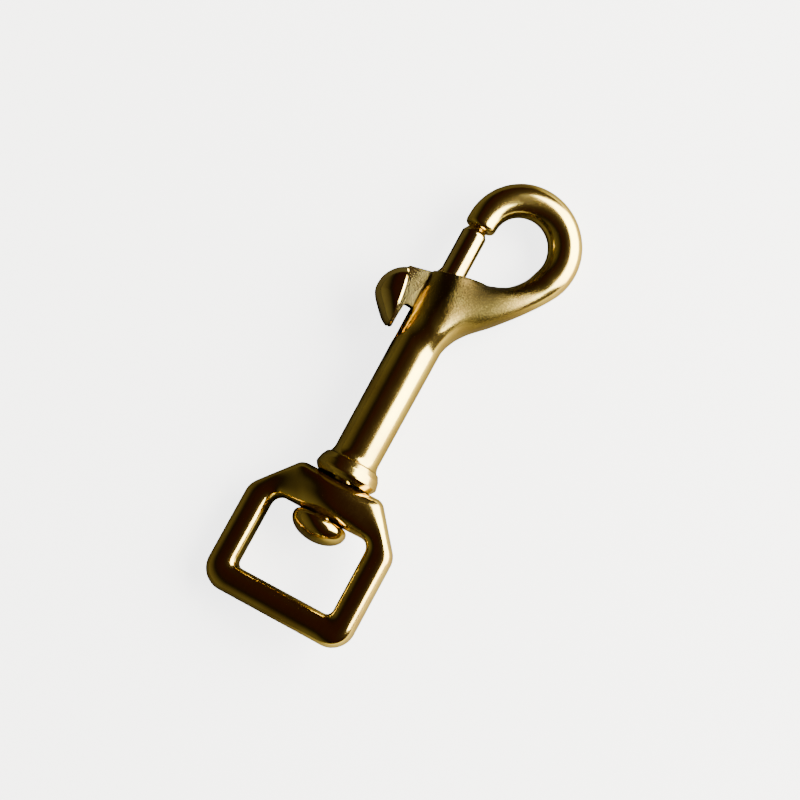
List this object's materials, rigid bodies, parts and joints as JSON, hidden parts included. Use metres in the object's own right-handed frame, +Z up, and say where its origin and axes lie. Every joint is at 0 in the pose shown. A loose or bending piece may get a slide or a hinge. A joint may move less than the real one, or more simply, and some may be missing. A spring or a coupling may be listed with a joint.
{
  "type": "swivel-eye bolt snap",
  "caption": "Cast brass snap hook with a spring bolt gate worked by a thumb piece, and a square swivel eye for webbing.",
  "frame": {"origin": "centre of the bounding box on the surface that the snap lies on", "axes": "+Y along the barrel from the eye to the hook, +Z up from the surface, thumb piece on the -X side"},
  "size_m": [0.0444, 0.1206, 0.0156],
  "materials": {
    "cast_brass": "polished casting",
    "polished_brass": "polished",
    "turned_brass": "turned and polished",
    "spring_steel": "drawn wire"
  },
  "bodies": {
    "hook": {"hook_body": "cast_brass", "swivel_stud": "turned_brass", "bolt_spring": "spring_steel"},
    "bolt": {"bolt": "polished_brass"},
    "eye": {"swivel_eye": "cast_brass"}
  },
  "joints": [
    {"name": "bolt_slide", "type": "slide", "parent": "hook", "child": "bolt", "axis": [0, -1, 0], "range_m": [0, 0.007], "stiffness_N_per_m": 800, "springref_m": -0.006, "deforming": ["bolt_spring"]},
    {"name": "eye_swivel", "type": "hinge", "parent": "hook", "child": "eye", "pos_m": [-0.00307, -0.02332, 0.00779], "axis": [0, 1, 0], "continuous": true}
  ]
}
